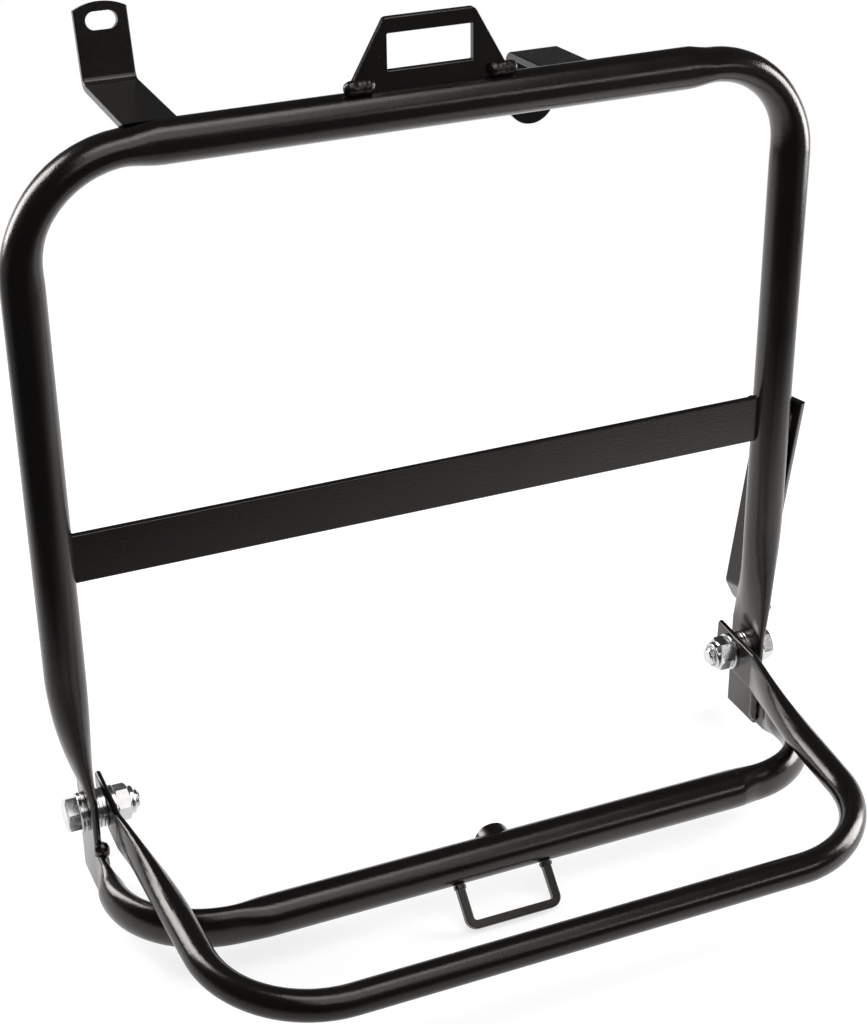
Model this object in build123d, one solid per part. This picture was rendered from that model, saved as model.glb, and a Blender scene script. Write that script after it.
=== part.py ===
from build123d import *
import os
from math import asin, cos, degrees, pi, radians, sin, sqrt, tan

# Pannier frame for a small motorbike: a welded tube hoop with a tray hoop that folds up on two pivot bolts.
# Millimetres. Drawn about the middle of the pivot axis, X to the right, Y towards the bike, Z up.
# Each finished piece is moved at the end, so that the origin lies in the round mounting hole.

# Main hoop
hoop_tube = 16.0
hoop_width = 308.0
hoop_rise = 268.7
hoop_corner_left = 42.0
hoop_corner_right = 38.0
hoop_press_top = 66.0
hoop_press_end = 10.0
lug_width = 24.0
lug_thickness = 3.0
lug_inset = 3.7
lug_drop = 33.3

# Bends: bending draws a tube in and spreads it sideways, most at the middle of the bend
hoop_bend_depth = 13.0
hoop_bend_spread = 16.8
hoop_bar_ease = 11.0
hoop_leg_ease = 5.0
rail_bend_depth = 10.8
rail_bend_spread = 16.4
rail_bend_ease = 10.0
tray_bend_depth = 10.6
tray_bend_spread = 12.6
tray_bend_ease = 5.0

# Lower rail
rail_width = 300.6
rail_reach = 70.2
rail_corner_left = 41.0
rail_corner_right = 37.5
rail_tilt = 4.8
rail_flat_width = 20.5
rail_flat_length = 7.0
button_x = -2.4
button_flange = 15.2
button_flange_thickness = 1.5
button_dome = 11.6
button_dome_height = 4.5

# Folding tray
tray_tube = 12.0
tray_reach = 139.4
tray_front_width = 266.8
tray_taper = 2.9
tray_droop = 2.7
tray_corner_left = 44.5
tray_corner_right = 43.0
tray_flat_width = 18.0
tray_flat_thickness = 2.6
tray_flat_length = 18.0
tray_tail = 11.5
tray_hole = 8.18
tray_press_length = 58.0
tray_stop_gap = 1.1

# Pivot hardware
bolt_size = 8.0
bolt_length = 25.0
bolt_head_height = 5.3
hex_flats = 13.0
hex_chamfer = 0.9
bolt_point = 1.0
pivot_hole = 8.4
washer_outer = 16.0
washer_thickness = 1.5
head_washer_count = 2
spacer_count = 3
running_gap = 0.05
nut_hex_height = 6.0
nut_height = 8.0
nut_collar = 11.6
nut_rim = 0.7
nut_turn = 30.0
thread_gap = 0.03

# Flat bar
bar_width = 20.0
bar_thickness = 3.0
bar_edge = 0.5
bar_bend = 4.0
strip_height = 113.7

# Strap bracket on the top bar
strap_plate = 3.0
strap_top_width = 35.0
strap_foot_width = 64.0
strap_plate_rise = 25.7
strap_window_width = 33.4
strap_window_height = 13.5
strap_window_top = 5.6
strap_corner = 2.0

# Strap loop under the lower rail
loop_x = -4.6
loop_bar = 3.4
loop_width = 37.4
loop_drop = 24.9
loop_lean = 46.7
loop_corner = 3.0

# Mounting brackets
mount_hole = 6.6
slot_length = 12.0
left_bracket_inset = 50.0
left_bracket_reach = 54.0
left_tab_rise = 27.0
left_tab_lean = 14.0
left_tab_crown = 2.6
left_slot_below_top = 6.8
right_bracket_x = 58.4
right_bracket_reach = 40.0
right_bracket_height = 4.6
right_bracket_fall = 2.4
right_tab_drop = 18.4

# Lower strut behind the right leg
strut_top = 119.6
strut_length = 102.5
strut_clock = 28.0
strut_roll = 8.0
strut_tilt = 2.5
strut_bend = 35.0
strut_foot = 13.0

# Weld metal
weld_size = 3.0
weld_sink = 0.4
strap_weld_size = 2.7
strap_weld_length = 12.0
strap_weld_inset = 4.2
strap_weld_rise = 2.3
rail_weld_length = 19.0
rail_lump_size = 3.6
rail_lump_length = 8.0
strip_weld_length = 20.0
bracket_weld_length = 17.0
strut_weld_size = 1.9
strut_weld_length = 28.0
strut_weld_drop = 18.0
strut_weld_spread = 10.4

# Places that follow from the sizes above
pivot_x = hoop_width / 2 - lug_inset
left_bracket_x = left_bracket_inset - hoop_width / 2
hoop_r = hoop_tube / 2
tray_r = tray_tube / 2
half_lug = lug_thickness / 2
tray_in = half_lug + spacer_count * washer_thickness + 2 * running_gap
nut_in = tray_in + tray_flat_thickness + running_gap
# The tray's right arm crosses the rail on its bend, or at the end of the bend that is nearer
stop_x = tray_front_width / 2 + (tray_reach - rail_reach) * tan(radians(tray_taper))
stop_share = (stop_x - rail_width / 2) / rail_corner_right + 1
stop_turn = asin(min(max(stop_share, 0), 1))
stop_y = rail_corner_right * (1 - cos(stop_turn)) - rail_reach
tray_underside = stop_y * tan(radians(tray_droop)) - tray_r / cos(radians(tray_droop))
rail_top = tray_underside - tray_stop_gap + (stop_y + rail_reach) * tan(radians(rail_tilt))
rail_height = rail_top - rail_bend_spread / 2
rail_lug_height = rail_height - (rail_reach - lug_width / 2) * tan(radians(rail_tilt))
right_tab_y = right_bracket_reach - bar_thickness / 2
right_hole_height = hoop_rise + right_bracket_height - right_bracket_fall - right_tab_drop
origin_shift = Location((-right_bracket_x, -right_bracket_reach, -right_hole_height))

X = Vector(1, 0, 0)
Y = Vector(0, 1, 0)
Z = Vector(0, 0, 1)
bend_steps = 14
pressed_shares = (0.0, 1 / 9, 4 / 9, 1.0)
flat_corner = radians(25)
standing = (Align.CENTER, Align.CENTER, Align.MIN)


def mix(a, b, share):
    return a + (b - a) * share


def half_bow(start, ahead, axis, run, corner, turn, tube, bent, eases, last_run):
    """Half of a bent tube, with its end plane: a run, a bend drawn in and spread, and a second run."""
    ease_in, ease_out = eases
    bent_depth, bent_spread = bent
    origin_axis = Axis((0, 0, 0), axis)
    outward = ahead.cross(axis)
    hub = start + ahead * run - outward * corner
    arc = corner * radians(turn)
    total = ease_in + arc + ease_out

    def plane_at(travel):
        in_bend = min(max(travel, 0), arc)
        angle = degrees(in_bend / corner)
        along = ahead.rotate(origin_axis, angle)
        point = hub + outward.rotate(origin_axis, angle) * corner + along * (travel - in_bend)
        return Plane(origin=point, x_dir=axis, z_dir=along)

    def section(step):
        passed = step / bend_steps
        rise = min(1, 2 * passed)
        if ease_out > 0:
            rise = min(rise, 2 - 2 * passed)
        share = rise * rise * (3 - 2 * rise)
        plane = plane_at(total * passed - ease_in)
        if share == 0:
            return plane * Circle(tube / 2)
        return plane * Ellipse(mix(tube, bent_spread, share) / 2, mix(tube, bent_depth, share) / 2)

    body = extrude(Plane(origin=start, x_dir=axis, z_dir=ahead) * Circle(tube / 2), run - ease_in)
    body += loft([section(step) for step in range(bend_steps + 1)])
    leaving = plane_at(arc + ease_out)
    if last_run > 0:
        body += extrude(leaving * Circle(tube / 2), last_run)
    end = leaving.origin + leaving.z_dir * last_run
    return body, Plane(origin=end, x_dir=leaving.z_dir.cross(axis), z_dir=leaving.z_dir)


def pressed_section(plane, depth, spread, width, thickness, share):
    """Section of a tube end pressed flat, from the round tube at share 0 to the flat at share 1."""
    widened = share * (2 - share)
    corner_x = mix(depth / 2 * sin(flat_corner), thickness / 2, share)
    corner_y = mix(spread / 2 * cos(flat_corner), (width - thickness) / 2, widened)
    side_x = mix(depth / 2, thickness / 2, share)
    tip_y = mix(spread / 2, width / 2, widened)
    turn = 90 - degrees(flat_corner)

    def side(sign):
        ends = (sign * corner_x, -sign * corner_y), (sign * corner_x, sign * corner_y)
        if share == 0:
            base = 90 - 90 * sign
            return EllipticalCenterArc((0, 0), depth / 2, spread / 2, base - turn, arc_size=2 * turn)
        if share == 1:
            return Line(*ends)
        return ThreePointArc(ends[0], (sign * side_x, 0), ends[1])

    def tip(sign):
        if share == 0:
            base = 90 - 90 * sign
            return EllipticalCenterArc((0, 0), depth / 2, spread / 2, base + turn, arc_size=180 - 2 * turn)
        ends = (sign * corner_x, sign * corner_y), (-sign * corner_x, sign * corner_y)
        return ThreePointArc(ends[0], (0, sign * tip_y), ends[1])

    return plane * make_face(side(1) + tip(1) + side(-1) + tip(-1))


def pressed_end(round_plane, flat_plane, depth, spread, width, thickness, flat_length):
    """The stretch of a tube that passes from round to flat, and the flat end beyond it."""
    sections = [pressed_section(round_plane, depth, spread, width, thickness, 0)]
    travel = flat_plane.origin - round_plane.origin
    along = round_plane.z_dir * travel.dot(round_plane.z_dir)
    across = travel - along
    for i, share in enumerate(pressed_shares[1:], start=1):
        point = round_plane.origin + along * (i / (len(pressed_shares) - 1)) + across * share
        plane = Plane(origin=point, x_dir=flat_plane.x_dir, z_dir=flat_plane.z_dir)
        sections.append(pressed_section(plane, depth, spread, width, thickness, share))
    return loft(sections) + extrude(sections[-1], flat_length, dir=flat_plane.z_dir)


def pivot_bore(x, hole):
    return Pos(x, 0, 0) * Rot(0, 90, 0) * Cylinder(hole / 2, 4 * washer_outer)


def mirrored(half):
    return mirror(half, about=Plane.YZ)


def hoop_half(corner):
    """Right half of the hoop, with the bend of the named size."""
    run = hoop_width / 2 - corner
    leg_run = hoop_rise - corner - hoop_leg_ease - hoop_press_top
    bent = hoop_bend_depth, hoop_bend_spread
    eases = hoop_bar_ease, hoop_leg_ease
    half, end = half_bow(Z * hoop_rise, X, Y, run, corner, 90, hoop_tube, bent, eases, leg_run)
    flat = Plane(origin=(pivot_x, 0, hoop_press_end), x_dir=end.x_dir, z_dir=end.z_dir)
    flat_length = hoop_press_end + lug_drop
    half += pressed_end(end, flat, hoop_tube, hoop_tube, lug_width, lug_thickness, flat_length)
    return half - pivot_bore(pivot_x, pivot_hole)


def make_main_hoop():
    return hoop_half(hoop_corner_right) + mirrored(hoop_half(hoop_corner_left))


def rail_half(corner):
    """Right half of the lower rail, with the bend of the named size."""
    tilt = radians(rail_tilt)
    start = Vector(0, -rail_reach, rail_height)
    axis = Vector(0, sin(tilt), cos(tilt))
    run = rail_width / 2 - corner
    bent = rail_bend_depth, rail_bend_spread
    half, end = half_bow(start, X, axis, run, corner, 90, hoop_tube, bent, (rail_bend_ease, 0), 0)
    flat_y = -lug_width / 2 - rail_flat_length
    flat = Plane(origin=(pivot_x, flat_y, rail_lug_height), x_dir=end.x_dir, z_dir=Y)
    return half + pressed_end(end, flat, *bent, rail_flat_width, lug_thickness, rail_flat_length + half_lug)


def make_lower_rail(hoop):
    return rail_half(rail_corner_right) + mirrored(rail_half(rail_corner_left)) - hoop


def tray_half(corner):
    """Right half of the tray, with the bend of the named size."""
    flat_x = pivot_x - tray_in - tray_flat_thickness / 2
    turn = 90 - tray_taper
    tangent = corner * tan(radians(turn) / 2)
    press_y = -tray_flat_length - tray_press_length
    arm = (tray_reach + press_y) / cos(radians(tray_taper)) - tangent - tray_bend_ease
    start = Vector(0, -tray_reach, 0)
    run = tray_front_width / 2 - tangent
    bent = tray_bend_depth, tray_bend_spread
    eases = tray_bend_ease, tray_bend_ease
    half, end = half_bow(start, X, Z, run, corner, turn, tray_tube, bent, eases, arm)
    flat = Plane(origin=(flat_x, -tray_flat_length, 0), x_dir=X, z_dir=Y)
    flat_length = tray_flat_length + tray_tail
    half += pressed_end(end, flat, tray_tube, tray_tube, tray_flat_width, tray_flat_thickness, flat_length)
    return half - pivot_bore(flat_x, tray_hole)


def make_tray_hoop():
    return Rot(tray_droop, 0, 0) * (tray_half(tray_corner_right) + mirrored(tray_half(tray_corner_left)))


def make_cross_strip(hoop):
    strip = Plane.YZ * RectangleRounded(bar_thickness, bar_width, bar_edge)
    return Pos(0, 0, strip_height) * extrude(strip, hoop_width / 2, both=True) - hoop


def make_strap_bracket(hoop):
    top = hoop_r + strap_plate_rise
    slope = (strap_foot_width - strap_top_width) / 2 / strap_plate_rise
    foot = strap_top_width / 2 + slope * top
    outline = Polygon(
        (-foot, 0), (foot, 0), (strap_top_width / 2, top), (-strap_top_width / 2, top), align=None
    )
    upper = outline.vertices().sort_by(Axis.Y)[2:]
    window_y = top - strap_window_top - strap_window_height / 2
    window = Pos(0, window_y) * RectangleRounded(strap_window_width, strap_window_height, bar_edge)
    plate = extrude(Plane.XZ * (fillet(upper, strap_corner) - window), strap_plate / 2, both=True)
    plate = chamfer(plate.faces().sort_by(Axis.Y)[0].edges(), bar_edge / 2)
    plate = chamfer(plate.faces().sort_by(Axis.Y)[-1].edges(), bar_edge / 2)
    return Pos(0, 0, hoop_rise) * plate - hoop


def loop_place():
    return Pos(loop_x, -rail_reach, rail_height) * Rot(90 - loop_lean, 0, 0)


def make_strap_loop(rail):
    side = loop_width / 2
    path = FilletPolyline((-side, 0), (-side, -loop_drop), (side, -loop_drop), (side, 0), radius=loop_corner)
    section = Plane(origin=(-side, 0, 0), x_dir=X, z_dir=-Y) * RectangleRounded(loop_bar, loop_bar, bar_edge)
    return loop_place() * sweep(section, path) - rail


def make_rail_button():
    """Domed button with a flange on the back of the lower rail."""
    seat = hoop_r / 4
    flange_top = hoop_r + button_flange_thickness
    flange = Pos(0, 0, seat) * Cylinder(button_flange / 2, flange_top - seat, align=standing)
    dome = Pos(0, 0, flange_top) * Cylinder(button_dome / 2, button_dome_height, align=standing)
    dome = fillet(dome.edges().sort_by(Axis.Z)[-1], button_dome_height * 0.85)
    button = flange + dome - Rot(0, 90, 0) * Cylinder(hoop_r, 2 * button_flange)
    return Pos(button_x, -rail_reach, rail_height) * Rot(-90, 0, 0) * button


def bent_bar(points, start_dir):
    """Flat bar along a path in a plane of constant X, bent at each inner point."""
    path = FilletPolyline(*points, radius=bar_bend)
    start = Plane(origin=points[0], x_dir=X, z_dir=start_dir)
    return sweep(start * RectangleRounded(bar_width, bar_thickness, bar_edge), path)


def make_upper_left_bracket(hoop):
    half_bar = bar_thickness / 2
    height = hoop_rise + hoop_r - half_bar
    back = left_bracket_reach - half_bar
    lean = radians(left_tab_lean)
    rise = left_tab_rise + half_bar
    end = Vector(0, back + rise * tan(lean), height + rise)
    bar = bent_bar([(0, 0, height), (0, back, height), tuple(end)], Y)
    side = bar_width / 2
    low = -2 * left_bracket_reach
    crown = ThreePointArc((-side, -left_tab_crown), (0, 0), (side, -left_tab_crown))
    sides = Polyline((side, -left_tab_crown), (side, low), (-side, low), (-side, -left_tab_crown))
    slot = Pos(0, -left_slot_below_top) * SlotOverall(slot_length, mount_hole)
    tab = Plane(origin=end, x_dir=X, z_dir=(0, -cos(lean), sin(lean)))
    trimmed = bar & extrude(tab * (make_face(crown + sides) - slot), 2 * left_bracket_reach, both=True)
    return Pos(left_bracket_x, 0, 0) * trimmed - hoop


def make_upper_right_bracket(hoop):
    height = hoop_rise + right_bracket_height
    bend_height = height - right_bracket_fall
    end_height = right_hole_height - bar_width / 2
    start_dir = Vector(0, right_tab_y, -right_bracket_fall).normalized()
    bar = bent_bar([(0, 0, height), (0, right_tab_y, bend_height), (0, right_tab_y, end_height)], start_dir)
    tall = hoop_rise + 2 * bar_width - right_hole_height
    outline = Circle(bar_width / 2) + Pos(0, tall / 2) * Rectangle(bar_width, tall) - Circle(mount_hole / 2)
    trimmed = bar & extrude(Plane.XZ * Pos(0, right_hole_height) * outline, -2 * right_bracket_reach)
    return Pos(right_bracket_x, 0, 0) * trimmed - hoop


def strut_frame():
    """Plane at the strut's top: X across the bar, Y away from the tube, Z along the bar."""
    clock = radians(strut_clock)
    roll = radians(strut_roll)
    tilt = radians(strut_tilt)
    away = Vector(cos(clock), sin(clock), 0)
    level = Vector(sin(clock), -cos(clock), 0)
    across = level * cos(roll) - Z * sin(roll)
    down = (-Z * cos(roll) - level * sin(roll)) * cos(tilt) + away * sin(tilt)
    middle = Vector(hoop_width / 2, 0, strut_top) + away * ((hoop_r + bar_thickness / 2) / cos(tilt))
    return Plane(origin=middle, x_dir=-across, z_dir=down)


def make_lower_strut(hoop):
    turn = radians(strut_bend)
    foot = Vector(0, sin(turn), cos(turn))
    corner = Vector(0, 0, strut_length)
    path = FilletPolyline((0, 0, 0), corner, corner + foot * (strut_foot + bar_width / 2), radius=bar_bend)
    bar = sweep(Plane.XY * RectangleRounded(bar_width, bar_thickness, bar_edge), path)
    eye_plane = Plane(origin=corner + foot * strut_foot, x_dir=X, z_dir=(0, cos(turn), -sin(turn)))
    tall = 2 * strut_length
    outline = Circle(bar_width / 2) + Pos(0, tall / 2) * Rectangle(bar_width, tall) - Circle(mount_hole / 2)
    trimmed = bar & extrude(eye_plane * outline, strut_length, both=True)
    return strut_frame().location * trimmed - hoop


def hexagon(height, chamfered_ends):
    """Hexagon bar standing on the XY plane, its corners turned off at the named ends."""
    across_corners = hex_flats / cos(pi / 6)
    body = extrude(RegularPolygon(across_corners / 2, 6), height)
    slope = hex_chamfer / sqrt(3)
    for end in chamfered_ends:
        rise = slope if end == "top" else -slope
        base = height if end == "top" else 0
        turned = Cone(across_corners / 2, across_corners / 2 - hex_chamfer, abs(rise), align=standing)
        ring = Cylinder(across_corners, abs(rise), align=standing) - turned
        if end == "top":
            body -= Pos(0, 0, base - rise) * ring
        else:
            body -= Pos(0, 0, -rise) * Rot(180, 0, 0) * ring
    return body


def make_bolt():
    """Hexagon bolt with its seat on the XY plane, its shank along +Z and its head below."""
    head = Rot(180, 0, 0) * hexagon(bolt_head_height, ["top"])
    shank = Cylinder(bolt_size / 2, bolt_length, align=standing)
    shank = chamfer(shank.edges().sort_by(Axis.Z)[-1], bolt_point)
    return head + shank


def make_washer():
    ring = Cylinder(washer_outer / 2, washer_thickness, align=standing)
    ring = chamfer(ring.edges(), washer_thickness / 8)
    return ring - Cylinder(pivot_hole / 2, 4 * washer_thickness)


def make_lock_nut():
    """Lock nut on the XY plane: a hexagon with a round collar that holds the nylon ring."""
    bore = bolt_size / 2 + thread_gap
    body = hexagon(nut_hex_height, ["top", "bottom"])
    collar = Cylinder(nut_collar / 2, nut_height, align=standing)
    collar = fillet(collar.edges().sort_by(Axis.Z)[-1], nut_rim)
    pocket = Pos(0, 0, nut_hex_height) * Cylinder(nut_collar / 2 - nut_rim, nut_height, align=standing)
    return body + collar - pocket - Cylinder(bore, 4 * nut_height)


def make_nut_insert():
    height = nut_height - nut_hex_height - nut_rim / 2
    ring = Cylinder(nut_collar / 2 - nut_rim, height, align=standing)
    return Pos(0, 0, nut_hex_height) * ring - Cylinder(bolt_size / 2 + thread_gap, 4 * nut_height)


def washer_stack(top_x, count):
    """Washers on a right pivot's bolt, one after the other inwards from a place on the axis."""
    places = [Pos(top_x - i * washer_thickness, 0, 0) * Rot(0, -90, 0) for i in range(count)]
    return Compound(children=[(place * make_washer()).solid() for place in places])


def pivot_pieces():
    """A right pivot's hardware, from the bolt's head outside to the lock nut inside."""
    inward = Rot(0, -90, 0)
    head_x = pivot_x + half_lug + head_washer_count * washer_thickness
    nut_seat = Pos(pivot_x - nut_in - washer_thickness, 0, 0) * inward
    return {
        "pivot_bolt": Pos(head_x, 0, 0) * inward * make_bolt(),
        "head_washers": washer_stack(head_x, head_washer_count),
        "spacer_washers": washer_stack(pivot_x - half_lug, spacer_count),
        "nut_washer": Pos(pivot_x - nut_in, 0, 0) * inward * make_washer(),
        "lock_nut": nut_seat * Rot(0, 0, nut_turn) * make_lock_nut(),
        "nut_insert": nut_seat * make_nut_insert(),
    }


def bead(place, length, radius):
    """A lump of weld metal with round ends, long along Z."""
    straight = length / 2 - radius
    lump = Cylinder(radius, 2 * straight)
    for end in (-straight, straight):
        lump += Pos(0, 0, end) * Sphere(radius)
    return place * lump


def cut_welds(lumps, pieces):
    """Lumps of weld metal, cut where the pieces that they join lie."""
    solids = []
    for lump in lumps:
        for piece in pieces:
            lump = lump - piece
        solids.append(lump.solids().sort_by(SortBy.VOLUME)[-1])
    return Compound(children=solids)


def make_welds(nodes):
    """One node of weld metal for each joint between pieces."""
    hoop = nodes["main_hoop"]
    rail = nodes["lower_rail"]
    level = Rot(0, 90, 0)
    hoop_top = hoop_rise + hoop_r
    strap_x = strap_foot_width / 2 - strap_weld_inset
    strap_y = -strap_plate / 2 - weld_sink
    strap_places = [Pos(side * strap_x, strap_y, hoop_top + strap_weld_rise) * level for side in (-1, 1)]
    strap_lumps = [bead(place, strap_weld_length, strap_weld_size) for place in strap_places]
    rail_lumps = []
    lug_seam = pivot_x - half_lug + weld_sink
    lug_front = -lug_width / 2
    rail_lug_top = rail_lug_height + rail_flat_width / 2
    for seam in (-lug_seam, lug_seam):
        rail_lumps.append(bead(Pos(seam, lug_front, rail_lug_height), rail_weld_length, weld_size))
        lump_place = Pos(seam, lug_front - 2 * weld_sink, rail_lug_top + 2 * weld_sink)
        rail_lumps.append(bead(lump_place, rail_lump_length, rail_lump_size))
    loop_roots = [loop_place() * Pos(side * loop_width / 2, -hoop_r - weld_sink / 2, 0) for side in (-1, 1)]
    loop_lumps = [root * Sphere(weld_size) for root in loop_roots]
    strip_x = hoop_width / 2 - hoop_r
    strip_y = bar_thickness / 2 + 2 * weld_sink
    strip_places = [Pos(side * strip_x, strip_y, strip_height - 2 * weld_sink) for side in (-1, 1)]
    strip_lumps = [bead(place, strip_weld_length, weld_size) for place in strip_places]
    left_place = Pos(left_bracket_x, hoop_r - 3 * weld_sink, hoop_top - bar_thickness) * level
    left_lumps = [bead(left_place, bracket_weld_length, weld_size)]
    right_place = Pos(right_bracket_x, hoop_r, hoop_rise + right_bracket_height - bar_thickness / 2) * level
    right_lumps = [bead(right_place, bracket_weld_length, weld_size)]
    strut_y = -bar_thickness / 2 - 2 * weld_sink
    strut_sides = [Pos(side * strut_weld_spread / 2, strut_y, strut_weld_drop) for side in (-1, 1)]
    strut_lumps = [
        bead(strut_frame().location * place, strut_weld_length, strut_weld_size) for place in strut_sides
    ]
    return {
        "strap_bracket_welds": cut_welds(strap_lumps, [hoop, nodes["strap_bracket"]]),
        "rail_welds": cut_welds(rail_lumps, [hoop, rail]),
        "strap_loop_welds": cut_welds(loop_lumps, [rail, nodes["strap_loop"]]),
        "cross_strip_welds": cut_welds(strip_lumps, [hoop, nodes["cross_strip"]]),
        "upper_left_bracket_weld": cut_welds(left_lumps, [hoop, nodes["upper_left_bracket"]]),
        "upper_right_bracket_weld": cut_welds(right_lumps, [hoop, nodes["upper_right_bracket"]]),
        "lower_strut_welds": cut_welds(strut_lumps, [hoop, nodes["lower_strut"]]),
    }


def main():
    hoop = make_main_hoop()
    rail = make_lower_rail(hoop)
    nodes = {"main_hoop": hoop, "lower_rail": rail, "tray_hoop": make_tray_hoop()}
    nodes["cross_strip"] = make_cross_strip(hoop)
    nodes["strap_bracket"] = make_strap_bracket(hoop)
    nodes["strap_loop"] = make_strap_loop(rail)
    nodes["rail_button"] = make_rail_button()
    nodes["upper_left_bracket"] = make_upper_left_bracket(hoop)
    nodes["upper_right_bracket"] = make_upper_right_bracket(hoop)
    nodes["lower_strut"] = make_lower_strut(hoop)
    for name, piece in pivot_pieces().items():
        nodes[name + "_right"] = piece
        nodes[name + "_left"] = mirrored(piece)
    nodes |= make_welds(nodes)
    os.makedirs("parts", exist_ok=True)
    for name, piece in nodes.items():
        export_step(origin_shift * piece, f"parts/{name}.step")


main()
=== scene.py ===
import math
from collections import namedtuple

import bmesh
import bpy
from mathutils import Matrix, Vector, noise


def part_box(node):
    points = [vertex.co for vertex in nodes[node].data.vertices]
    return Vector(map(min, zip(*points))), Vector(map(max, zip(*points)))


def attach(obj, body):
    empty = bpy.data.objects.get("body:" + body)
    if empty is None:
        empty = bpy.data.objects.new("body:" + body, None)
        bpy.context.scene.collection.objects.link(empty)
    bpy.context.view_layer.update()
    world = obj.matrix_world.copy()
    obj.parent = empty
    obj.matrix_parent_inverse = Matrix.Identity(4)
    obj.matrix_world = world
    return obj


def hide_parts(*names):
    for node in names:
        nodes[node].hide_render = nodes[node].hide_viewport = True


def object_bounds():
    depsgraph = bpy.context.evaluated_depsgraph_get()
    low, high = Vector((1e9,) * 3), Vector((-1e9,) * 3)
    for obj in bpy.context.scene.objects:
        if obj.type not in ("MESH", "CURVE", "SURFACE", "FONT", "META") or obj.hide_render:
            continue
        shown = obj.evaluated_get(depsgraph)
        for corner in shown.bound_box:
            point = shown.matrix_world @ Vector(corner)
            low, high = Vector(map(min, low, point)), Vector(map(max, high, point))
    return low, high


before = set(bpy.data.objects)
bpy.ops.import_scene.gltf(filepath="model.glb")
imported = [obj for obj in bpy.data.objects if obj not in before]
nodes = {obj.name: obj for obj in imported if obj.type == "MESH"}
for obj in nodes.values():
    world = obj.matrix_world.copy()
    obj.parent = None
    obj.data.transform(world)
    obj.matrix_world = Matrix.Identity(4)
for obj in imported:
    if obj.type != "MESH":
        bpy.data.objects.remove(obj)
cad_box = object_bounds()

# Pannier frame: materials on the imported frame, with threads, rolled collars, weld beads and knuckles at the bends.
# Metres, in the CAD frame.

MM = 0.001
WHITE = (1.0, 1.0, 1.0, 1.0)

scene = bpy.context.scene

# Middle of the pivot axis
PIVOT_X = -58.4 * MM
pivot_low, pivot_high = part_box("pivot_bolt_left")
pivot = Vector((PIVOT_X, (pivot_low.y + pivot_high.y) / 2, (pivot_low.z + pivot_high.z) / 2))

# Camera, from the photograph's perspective
CAMERA_PLACE = (-0.3479, -0.7285, 0.2513)
CAMERA_RIGHT = (0.9198, -0.3922, -0.0101)
CAMERA_UP = (0.1943, 0.4330, 0.8802)
CAMERA_BACK = (-0.3408, -0.8116, 0.4745)
CAMERA_LENS = 74.82
SENSOR_WIDTH = 36.0
CLIP_START = 0.01

# Materials. Most of what a noise texture gives lies in NOISE_SPAN.
NOISE_SPAN = (0.3, 0.7)
GRAIN_HEIGHT = 0.2 * MM
COAT_TONES = ((0.0036, 0.0032, 0.0029), (0.0058, 0.0051, 0.0046))
COAT_IOR = 1.58
COAT_TINT = (1.0, 0.95, 0.91, 1.0)
DUST_COLOUR = (0.16, 0.15, 0.14, 1.0)
DUST_SPAN = (0.80, 0.86)
DUST_COVER = 0.5
ZINC_TONES = ((0.62, 0.62, 0.63), (0.76, 0.76, 0.76))
ZINC_ROUGHNESS = (0.16, 0.28)
ZINC_GRAIN = 0.12
NYLON_TONES = ((0.55, 0.55, 0.52), (0.66, 0.66, 0.62))
NYLON_ROUGHNESS = (0.42, 0.55)

# Pivot bolts, as in the part's source
RING_POINTS = 72
BOLT_RADIUS = 4.0 * MM
BOLT_LENGTH = 25.0 * MM
BOLT_POINT = 1.0 * MM
HEAD_HEIGHT = 5.3 * MM
HEX_FLATS = 13.0 * MM
HEAD_TURNED = 6.05 * MM
THREAD_PITCH = 1.25 * MM
THREAD_DEPTH = 0.62 * MM
THREAD_START = 9.0 * MM
THREAD_RUNOUT = 0.5 * MM
THREAD_STEPS = 14
HEAD_TURNS = {"left": math.radians(30), "right": 0.0}

# Lock nuts, as in the part's source
NUT_HEX = 6.0 * MM
NUT_HEIGHT = 8.0 * MM
NUT_COLLAR = 5.8 * MM
NUT_RIM = 0.7 * MM
NUT_BORE = 4.03 * MM
NUT_MOUTH = 0.4 * MM
NUT_TURNS = {"left": math.radians(14), "right": 0.0}

# Weld beads: ripples across the run of the bead, and lumps that wander over it
WELD_GRID = 0.4 * MM
WELD_PITCH = 1.9 * MM
WELD_RIPPLE = 0.14 * MM
WELD_LUMPS = 0.45 * MM
WELD_LUMP_SIZE = 3.2 * MM
WELD_WANDER = 0.6
SCALLOP_MEAN = 0.6
PLAIN_WELDS = ("strap_bracket_welds", "strap_loop_welds")
PLAIN_SHARE = 0.8
SMALL_WELDS = {"strap_loop_welds": 0.7 * MM, "rail_welds": 0.5 * MM}

# Bends of the two 16 mm tubes, as in the part's source. The start is the middle of the front run, from the middle
# of the pivot axis. Corners are on the right and on the left, eases before and after the bend, and bent is the
# tube's depth and spread there.
Bend = namedtuple("Bend", "start outward axis half_width corners eases bent")
BENT_TUBE = 16.0 * MM
RAIL_TILT = math.radians(4.8)
tube_bends = {
    "main_hoop": Bend(
        start=Vector((0, 0, 268.7)) * MM,
        outward=Vector((0, 0, 1)),
        axis=Vector((0, 1, 0)),
        half_width=154.0 * MM,
        corners=(38.0 * MM, 42.0 * MM),
        eases=(11.0 * MM, 5.0 * MM),
        bent=(13.0 * MM, 16.8 * MM),
    ),
    "lower_rail": Bend(
        start=Vector((0, -70.2, -17.467)) * MM,
        outward=Vector((0, -math.cos(RAIL_TILT), math.sin(RAIL_TILT))),
        axis=Vector((0, math.sin(RAIL_TILT), math.cos(RAIL_TILT))),
        half_width=150.3 * MM,
        corners=(37.5 * MM, 41.0 * MM),
        eases=(10.0 * MM, 0.0),
        bent=(10.8 * MM, 16.4 * MM),
    ),
}
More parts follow.
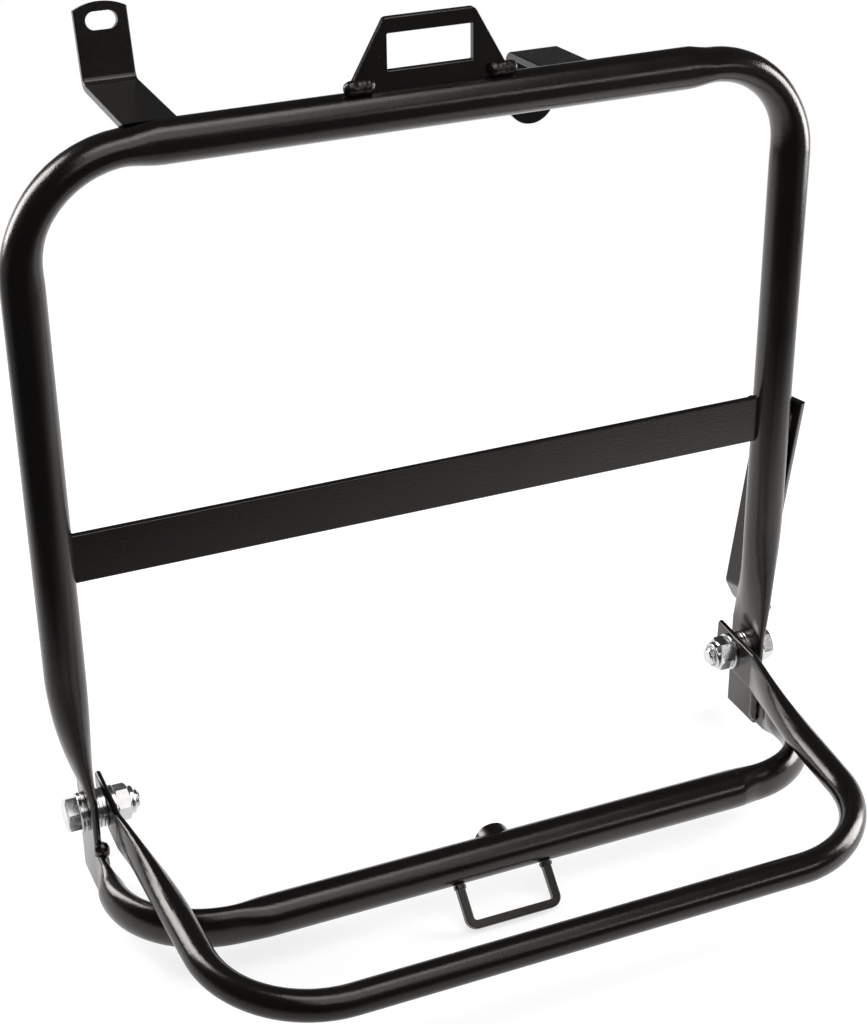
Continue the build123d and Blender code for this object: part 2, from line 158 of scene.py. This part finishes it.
# Stretches over which a tube is drawn in before a bend, on the right and on the left, and let out after it
KNUCKLES = (12.0 * MM, 16.0 * MM)
KNUCKLE_AFTER = 28.0 * MM
SAME_PLACE = 0.001 * MM
SHARP_ANGLE = math.radians(30)

# Floor, a disc that is dimmer in reflections at its front, and the room around it
FLOOR_GAP = 1.0 * MM
FLOOR_RADIUS = 0.62
FLOOR_POINTS = 96
FLOOR_MIDDLE = (0.1, 0.28)
FLOOR_BACK = (0.5, 0.85, 0.0)
FLOOR_FRONT = (-0.92 * FLOOR_RADIUS, -0.55 * FLOOR_RADIUS)
FLOOR_RIM = (0.5 * FLOOR_RADIUS, 0.98 * FLOOR_RADIUS)
FLOOR_TONE = (0.55, 0.55, 0.55, 1.0)
FLOOR_ROUGHNESS = 0.8
FLOOR_SPECULAR = 0.1
FLOOR_GLOW = 0.58
ROOM_GLOW = 0.05
AMBIENT = 0.25

# Soft boxes: place and target from the middle of the pivot axis, width and height, and radiance
LAMP_COLOUR = (1.0, 0.98, 0.965)
lamps = {
    "overhead": ((0.0, -0.30, 1.45), (0.0, -0.30, 0.0), (1.0, 0.44), 3.2),
    "front_top": ((0.0, -0.89, 1.20), (0.0, -0.1, 0.0), (1.0, 1.0), 1.4),
    "back_left": ((-0.68, 0.64, 0.54), (-0.13, -0.05, 0.14), (0.36, 0.80), 10.0),
    "right_side": ((1.10, -0.15, 0.335), (0.1, -0.15, 0.335), (0.52, 0.83), 11.0),
    "front_right": ((0.64, -1.00, 0.57), (0.1, 0.0, 0.27), (0.50, 0.18), 2.6),
}

black_nodes = [
    "main_hoop", "lower_rail", "tray_hoop", "cross_strip", "strap_bracket", "strap_loop",
    "upper_left_bracket", "upper_right_bracket", "lower_strut", "rail_button",
]
# Weld metal, with the direction in which each bead was laid
weld_runs = {
    "strap_bracket_welds": (1, 0, 0),
    "upper_left_bracket_weld": (1, 0, 0),
    "upper_right_bracket_weld": (1, 0, 0),
    "rail_welds": (0, 0, 1),
    "cross_strip_welds": (0, 0, 1),
    "lower_strut_welds": (0, 0, 1),
    "strap_loop_welds": (0, 1, 1),
}
zinc_parts = ["head_washers", "spacer_washers", "nut_washer", "lock_nut", "pivot_bolt"]
sides = ["left", "right"]


def new_material(name):
    material = bpy.data.materials.new(name)
    material.use_nodes = True
    tree = material.node_tree
    return material, tree, tree.nodes["Principled BSDF"]


def add_node(tree, kind, **values):
    node = tree.nodes.new(kind)
    for key, value in values.items():
        if key in node.inputs:
            node.inputs[key].default_value = value
        else:
            setattr(node, key, value)
    return node


def object_noise(tree, scale, detail=3.0):
    place = add_node(tree, "ShaderNodeTexCoord")
    texture = add_node(tree, "ShaderNodeTexNoise", Scale=scale, Detail=detail)
    tree.links.new(place.outputs["Object"], texture.inputs["Vector"])
    return texture.outputs["Fac"]


def map_between(tree, value, given, wanted):
    node = add_node(tree, "ShaderNodeMapRange")
    node.inputs["From Min"].default_value, node.inputs["From Max"].default_value = given
    node.inputs["To Min"].default_value, node.inputs["To Max"].default_value = wanted
    tree.links.new(value, node.inputs["Value"])
    return node.outputs["Result"]


def wandering_tone(tree, scale, tones):
    """Colour that wanders between two tones."""
    node = add_node(tree, "ShaderNodeValToRGB")
    for element, place, tone in zip(node.color_ramp.elements, NOISE_SPAN, tones):
        element.position = place
        element.color = (*tone, 1.0)
    tree.links.new(object_noise(tree, scale), node.inputs["Fac"])
    return node.outputs["Color"]


def wandering_roughness(tree, shader, scale, values):
    value = map_between(tree, object_noise(tree, scale), NOISE_SPAN, values)
    tree.links.new(value, shader.inputs["Roughness"])


def grain(tree, shader, height, strength):
    node = add_node(tree, "ShaderNodeBump", Strength=strength, Distance=GRAIN_HEIGHT)
    tree.links.new(height, node.inputs["Height"])
    tree.links.new(node.outputs["Normal"], shader.inputs["Normal"])


def black_coat(name, roughness, peel):
    """Glossy black coat with orange peel, slight changes of tone and gloss, and a few pale specks of dust."""
    material, tree, shader = new_material(name)
    colour = add_node(tree, "ShaderNodeMix", data_type="RGBA")
    dust = map_between(tree, object_noise(tree, 420.0, 1.0), DUST_SPAN, (0.0, DUST_COVER))
    tree.links.new(dust, colour.inputs["Factor"])
    tree.links.new(wandering_tone(tree, 14.0, COAT_TONES), colour.inputs["A"])
    colour.inputs["B"].default_value = DUST_COLOUR
    tree.links.new(colour.outputs["Result"], shader.inputs["Base Color"])
    wandering_roughness(tree, shader, 45.0, (roughness - 0.03, roughness + 0.04))
    grain(tree, shader, object_noise(tree, 1700.0, 2.0), peel)
    shader.inputs["IOR"].default_value = COAT_IOR
    shader.inputs["Specular Tint"].default_value = COAT_TINT
    return material


def zinc_plate(name):
    material, tree, shader = new_material(name)
    shader.inputs["Metallic"].default_value = 1.0
    tree.links.new(wandering_tone(tree, 160.0, ZINC_TONES), shader.inputs["Base Color"])
    wandering_roughness(tree, shader, 420.0, ZINC_ROUGHNESS)
    grain(tree, shader, object_noise(tree, 1500.0), ZINC_GRAIN)
    return material


def nylon(name):
    material, tree, shader = new_material(name)
    tree.links.new(wandering_tone(tree, 300.0, NYLON_TONES), shader.inputs["Base Color"])
    wandering_roughness(tree, shader, 500.0, NYLON_ROUGHNESS)
    return material


def give(obj, material):
    if not obj.material_slots:
        obj.data.materials.append(material)
    for material_slot in obj.material_slots:
        material_slot.material = material


def new_piece(name, bm, matrix, body, material):
    mesh = bpy.data.meshes.new(name)
    bmesh.ops.recalc_face_normals(bm, faces=bm.faces)
    bm.to_mesh(mesh)
    bm.free()
    obj = bpy.data.objects.new(name, mesh)
    scene.collection.objects.link(obj)
    obj.matrix_world = matrix
    give(obj, material)
    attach(obj, body)
    return obj


def ring_mesh(rings, closed=False):
    """Closed mesh of rings of points: from one end to the other with a fan at each, or round in a loop."""
    bm = bmesh.new()
    loops = [[bm.verts.new(point) for point in points] for points in rings]
    count = len(loops[0])
    following = loops[1:] + loops[:1] if closed else loops[1:]
    for lower, upper in zip(loops, following):
        for i in range(count):
            j = (i + 1) % count
            bm.faces.new((lower[i], lower[j], upper[j], upper[i]))
    for loop in () if closed else (loops[0], loops[-1]):
        middle = bm.verts.new(sum((v.co for v in loop), Vector()) / count)
        for i in range(count):
            bm.faces.new((loop[i], loop[(i + 1) % count], middle))
    return bm


def thread_profile(turns):
    """Depth of a thread's groove, from 0 at its crest to 1 at its root."""
    share = turns % 1.0
    return min(1.0, max(0.0, 1.35 - abs(share - 0.5) * 4.2))


def hex_radius(angle):
    return HEX_FLATS / 2 / math.cos((angle + math.pi / 6) % (math.pi / 3) - math.pi / 6)


def turned_off(angle):
    """How far a hexagon's corners are turned off at an end."""
    return max(0.0, hex_radius(angle) - HEAD_TURNED) * math.tan(math.radians(30))


def ring(radius_at, height_at):
    """Ring of points about Z, its radius and height given by the angle."""
    angles = [2 * math.pi * i / RING_POINTS for i in range(RING_POINTS)]
    return [(radius_at(a) * math.cos(a), radius_at(a) * math.sin(a), height_at(a)) for a in angles]


def plain_ring(radius, height):
    return ring(lambda a: radius, lambda a: height)


def nut_mesh():
    """Lock nut with its seat on the XY plane: a hexagon, and a rolled collar round the nylon ring."""
    rings = [
        plain_ring(NUT_BORE + NUT_MOUTH, 0.0),
        plain_ring(HEAD_TURNED, 0.0),
        ring(hex_radius, turned_off),
        ring(hex_radius, lambda a: NUT_HEX - turned_off(a)),
        plain_ring(HEAD_TURNED, NUT_HEX),
        plain_ring(NUT_COLLAR + 0.1 * MM, NUT_HEX + 0.05 * MM),
        plain_ring(NUT_COLLAR, NUT_HEX + 0.2 * MM),
    ]
    for degrees in range(0, 181, 20):
        turn = math.radians(degrees)
        radius = NUT_COLLAR - NUT_RIM + NUT_RIM * math.cos(turn)
        rings.append(plain_ring(radius, NUT_HEIGHT - NUT_RIM + NUT_RIM * math.sin(turn)))
    rings.append(plain_ring(NUT_COLLAR - 2 * NUT_RIM, NUT_HEX))
    rings.append(plain_ring(NUT_BORE, NUT_HEX))
    rings.append(plain_ring(NUT_BORE, NUT_MOUTH))
    return ring_mesh(rings, closed=True)


def bolt_mesh():
    """Hexagon bolt with a cut thread: its seat on the XY plane, its shank along +Z, its head below."""
    rings = [
        plain_ring(HEAD_TURNED * 0.55, 0.25 * MM - HEAD_HEIGHT),
        plain_ring(HEAD_TURNED * 0.80, 0.06 * MM - HEAD_HEIGHT),
        plain_ring(HEAD_TURNED, -HEAD_HEIGHT),
        ring(hex_radius, lambda a: turned_off(a) - HEAD_HEIGHT),
        ring(hex_radius, lambda a: 0.0),
        plain_ring(BOLT_RADIUS, 0.0),
        plain_ring(BOLT_RADIUS, THREAD_START - THREAD_RUNOUT),
    ]
    total = int((BOLT_LENGTH - THREAD_START) / THREAD_PITCH * THREAD_STEPS)
    for k in range(total + 1):
        height = THREAD_START + (BOLT_LENGTH - THREAD_START) * k / total
        fade = min(1.0, (height - THREAD_START) / THREAD_PITCH)
        point = BOLT_RADIUS - max(0.0, height - BOLT_LENGTH + BOLT_POINT)

        def radius_at(angle):
            groove = thread_profile(height / THREAD_PITCH - angle / (2 * math.pi))
            return min(point, BOLT_RADIUS - THREAD_DEPTH * fade * groove)

        rings.append(ring(radius_at, lambda a: height))
    return ring_mesh(rings)


def mix(a, b, share):
    return a + (b - a) * share


def eased(share):
    share = min(1.0, max(0.0, share))
    return share * share * (3 - 2 * share)


def bend_mesh(node, bend):
    """Copy of a bent tube that is drawn in over a shorter stretch, with a knuckle at each end of its bends."""
    before, after = bend.eases
    depth, spread = bend.bent
    bm = bmesh.new()
    verts = [bm.verts.new(vert.co) for vert in node.data.vertices]
    for polygon in node.data.polygons:
        bm.faces.new([verts[i] for i in polygon.vertices])
    bmesh.ops.remove_doubles(bm, verts=bm.verts, dist=SAME_PLACE)
    for vert in bm.verts:
        place = vert.co - pivot - bend.start
        side = 0 if place.x > 0 else 1
        corner = bend.corners[side]
        arc = corner * math.pi / 2
        # Place from the bend's hub, then the way along the tube and the distance out from its middle
        along = abs(place.x) - bend.half_width + corner
        rise = bend.outward.dot(place) + corner
        turn = math.atan2(max(0.0, along), max(0.0, rise))
        travel = corner * turn + min(0.0, along) - min(0.0, rise)
        out = math.hypot(max(0.0, along), max(0.0, rise)) - corner
        passed = (travel + before) / (before + arc + after)
        if not 0 < passed < 1:
            continue
        # Share of the draw, as in the part's source and with the knuckle
        smooth = 2 * passed
        sudden = eased((travel + before) / KNUCKLES[side])
        if after > 0:
            smooth = min(smooth, 2 - 2 * passed)
            sudden *= eased((arc + after - travel) / KNUCKLE_AFTER)
        smooth = eased(smooth)
        drawn = mix(BENT_TUBE, depth, sudden) / mix(BENT_TUBE, depth, smooth) - 1
        widened = mix(BENT_TUBE, spread, sudden) / mix(BENT_TUBE, spread, smooth) - 1
        sideways = Vector((math.copysign(1.0, place.x), 0, 0))
        vert.co += (sideways * math.sin(turn) + bend.outward * math.cos(turn)) * out * drawn
        vert.co += bend.axis * bend.axis.dot(place) * widened
    for face in bm.faces:
        face.smooth = True
    for edge in bm.edges:
        edge.smooth = edge.calc_face_angle(0.0) < SHARP_ANGLE
    return bm


def weld_mesh(node, run, share, drawn_in):
    """Copy of a node's weld metal on a fine grid, drawn in, with a share of the bead's ripples across its run."""
    copy = bpy.data.objects.new("weld_copy", node.data.copy())
    scene.collection.objects.link(copy)
    remesh = copy.modifiers.new("grid", "REMESH")
    remesh.mode = "VOXEL"
    remesh.voxel_size = WELD_GRID
    evaluated = copy.evaluated_get(bpy.context.evaluated_depsgraph_get())
    mesh = bpy.data.meshes.new_from_object(evaluated)
    bm = bmesh.new()
    bm.from_mesh(mesh)
    bmesh.ops.smooth_vert(bm, verts=bm.verts, factor=0.5, use_axis_x=True, use_axis_y=True, use_axis_z=True)
    bm.normal_update()
    moves = []
    for vert in bm.verts:
        lump = noise.noise(vert.co / WELD_LUMP_SIZE)
        along = run.dot(vert.co) / WELD_PITCH + WELD_WANDER * lump
        scallop = abs(math.sin(math.pi * along)) - SCALLOP_MEAN
        moves.append(vert.normal * (share * (WELD_RIPPLE * scallop + WELD_LUMPS * lump) - drawn_in))
    for vert, move in zip(bm.verts, moves):
        vert.co += move
    for face in bm.faces:
        face.smooth = True
    bpy.data.objects.remove(copy)
    bpy.data.meshes.remove(mesh)
    return bm


def largest(tree, *values):
    """The largest of several values between 0 and 1."""
    top = values[0]
    for value in values[1:]:
        node = add_node(tree, "ShaderNodeMath", operation="MAXIMUM")
        tree.links.new(top, node.inputs[0])
        tree.links.new(value, node.inputs[1])
        top = node.outputs["Value"]
    return top


def product(tree, first, second):
    node = add_node(tree, "ShaderNodeMath", operation="MULTIPLY")
    tree.links.new(first, node.inputs[0])
    tree.links.new(second, node.inputs[1])
    return node.outputs["Value"]


def make_camera():
    data = bpy.data.cameras.new("camera")
    data.lens = CAMERA_LENS
    data.sensor_width = SENSOR_WIDTH
    data.clip_start = CLIP_START
    camera = bpy.data.objects.new("camera", data)
    scene.collection.objects.link(camera)
    axes = Matrix((CAMERA_RIGHT, CAMERA_UP, CAMERA_BACK)).transposed()
    camera.matrix_world = Matrix.Translation(CAMERA_PLACE) @ axes.to_4x4()
    scene.camera = camera


def make_floor():
    """White round floor that passes into the white background at its rim."""
    bm = bmesh.new()
    bmesh.ops.create_circle(bm, cap_ends=True, segments=FLOOR_POINTS, radius=FLOOR_RADIUS)
    mesh = bpy.data.meshes.new("floor")
    bm.to_mesh(mesh)
    bm.free()
    floor = bpy.data.objects.new("floor", mesh)
    floor.location = (pivot.x + FLOOR_MIDDLE[0], pivot.y + FLOOR_MIDDLE[1], cad_box[0].z - FLOOR_GAP)
    scene.collection.objects.link(floor)
    material, tree, shader = new_material("white_floor")
    shader.inputs["Base Color"].default_value = FLOOR_TONE
    shader.inputs["Roughness"].default_value = FLOOR_ROUGHNESS
    shader.inputs["Specular IOR Level"].default_value = FLOOR_SPECULAR
    shader.inputs["Emission Color"].default_value = WHITE
    path = add_node(tree, "ShaderNodeLightPath").outputs
    place = add_node(tree, "ShaderNodeTexCoord").outputs["Object"]
    front = add_node(tree, "ShaderNodeVectorMath", operation="DOT_PRODUCT")
    front.inputs[1].default_value = FLOOR_BACK
    tree.links.new(place, front.inputs[0])
    lit = map_between(tree, front.outputs["Value"], FLOOR_FRONT, (ROOM_GLOW, 1.0))
    reflected = product(tree, path["Is Glossy Ray"], lit)
    seen = largest(tree, path["Is Camera Ray"], path["Is Transmission Ray"], reflected)
    glow = map_between(tree, seen, (0.0, 1.0), (0.0, FLOOR_GLOW))
    tree.links.new(glow, shader.inputs["Emission Strength"])
    length = add_node(tree, "ShaderNodeVectorMath", operation="LENGTH")
    tree.links.new(place, length.inputs[0])
    rim = map_between(tree, length.outputs["Value"], FLOOR_RIM, (0.0, 1.0))
    white = add_node(tree, "ShaderNodeEmission")
    tree.links.new(seen, white.inputs["Strength"])
    mixed = add_node(tree, "ShaderNodeMixShader")
    tree.links.new(rim, mixed.inputs["Fac"])
    tree.links.new(shader.outputs["BSDF"], mixed.inputs[1])
    tree.links.new(white.outputs["Emission"], mixed.inputs[2])
    tree.links.new(mixed.outputs["Shader"], tree.nodes["Material Output"].inputs["Surface"])
    give(floor, material)


def make_world():
    """White background, with a white backdrop behind the object and a dim room in front of it to reflect."""
    world = bpy.data.worlds.new("studio")
    scene.world = world
    world.use_nodes = True
    tree = world.node_tree
    path = add_node(tree, "ShaderNodeLightPath").outputs
    direction = add_node(tree, "ShaderNodeSeparateXYZ")
    tree.links.new(add_node(tree, "ShaderNodeTexCoord").outputs["Generated"], direction.inputs["Vector"])
    behind = map_between(tree, direction.outputs["Y"], (-0.1, 0.3), (0.0, 1.0))
    beside = map_between(tree, direction.outputs["X"], (0.2, 0.6), (0.0, 0.15))
    not_left = map_between(tree, direction.outputs["X"], (-0.75, -0.35), (0.3, 1.0))
    low = map_between(tree, direction.outputs["Z"], (-0.08, 0.06), (1.0, 0.0))
    white = product(tree, largest(tree, product(tree, behind, not_left), beside), low)
    backdrop = map_between(tree, white, (0.0, 1.0), (ROOM_GLOW, 1.0))
    reflected = product(tree, path["Is Glossy Ray"], backdrop)
    seen = largest(tree, path["Is Camera Ray"], path["Is Transmission Ray"], reflected)
    ambient = map_between(tree, path["Is Diffuse Ray"], (0.0, 1.0), (0.0, AMBIENT))
    background = tree.nodes["Background"]
    tree.links.new(largest(tree, seen, ambient), background.inputs["Strength"])
    background.inputs["Color"].default_value = WHITE


def add_lamp(name, place, target, size, radiance):
    data = bpy.data.lights.new(name, "AREA")
    data.shape = "RECTANGLE"
    data.size, data.size_y = size
    data.energy = radiance * math.pi * size[0] * size[1]
    data.color = LAMP_COLOUR
    lamp = bpy.data.objects.new(name, data)
    lamp.location = pivot + Vector(place)
    toward = Vector(target) - Vector(place)
    lamp.rotation_euler = toward.to_track_quat("-Z", "Y").to_euler()
    scene.collection.objects.link(lamp)


coat = black_coat("black_coat", roughness=0.19, peel=0.27)
weld_coat = black_coat("black_coat_weld", roughness=0.17, peel=0.06)
dull_coat = black_coat("black_coat_dull", roughness=0.27, peel=0.12)
zinc = zinc_plate("zinc_plate")
insert = nylon("nylon_ring")

for name in black_nodes:
    give(nodes[name], coat)
for side in sides:
    for part in zinc_parts:
        give(nodes[f"{part}_{side}"], zinc)
    give(nodes[f"nut_insert_{side}"], insert)

# Tubes with knuckles at their bends in place of the smooth ones
for name, bend in tube_bends.items():
    tube = new_piece(name + "_knuckled", bend_mesh(nodes[name], bend), Matrix(), "frame", coat)
    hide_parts(name)

# Rippled weld beads in place of the plain ones
for name, run in weld_runs.items():
    share, finish = (PLAIN_SHARE, dull_coat) if name in PLAIN_WELDS else (1.0, weld_coat)
    mesh = weld_mesh(nodes[name], Vector(run).normalized(), share, SMALL_WELDS.get(name, 0.0))
    beads = new_piece(name.replace("weld", "weld_bead"), mesh, Matrix(), "frame", finish)
    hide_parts(name)

# Bolts with threads and nuts with rolled collars in place of the plain ones
for side, outward in zip(sides, (-1, 1)):
    inward = Matrix.Rotation(math.radians(-90 * outward), 4, "Y")
    low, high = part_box(f"pivot_bolt_{side}")
    axis = (low + high) / 2
    head_x = low.x if outward < 0 else high.x
    seat = Matrix.Translation((head_x - outward * HEAD_HEIGHT, axis.y, axis.z))
    turn = Matrix.Rotation(HEAD_TURNS[side], 4, "Z")
    bolt = new_piece(f"threaded_bolt_{side}", bolt_mesh(), seat @ inward @ turn, "frame", zinc)
    low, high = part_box(f"lock_nut_{side}")
    seat = Matrix.Translation((high.x if outward > 0 else low.x, axis.y, axis.z))
    turn = Matrix.Rotation(outward * NUT_TURNS[side], 4, "Z")
    nut = new_piece(f"collared_nut_{side}", nut_mesh(), seat @ inward @ turn, "frame", zinc)
    for piece, node in ((bolt, "pivot_bolt"), (nut, "lock_nut")):
        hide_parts(f"{node}_{side}")

scene.view_settings.view_transform = "Standard"
make_camera()
make_floor()
make_world()
for name, (place, target, size, radiance) in lamps.items():
    add_lamp(name, place, target, size, radiance)
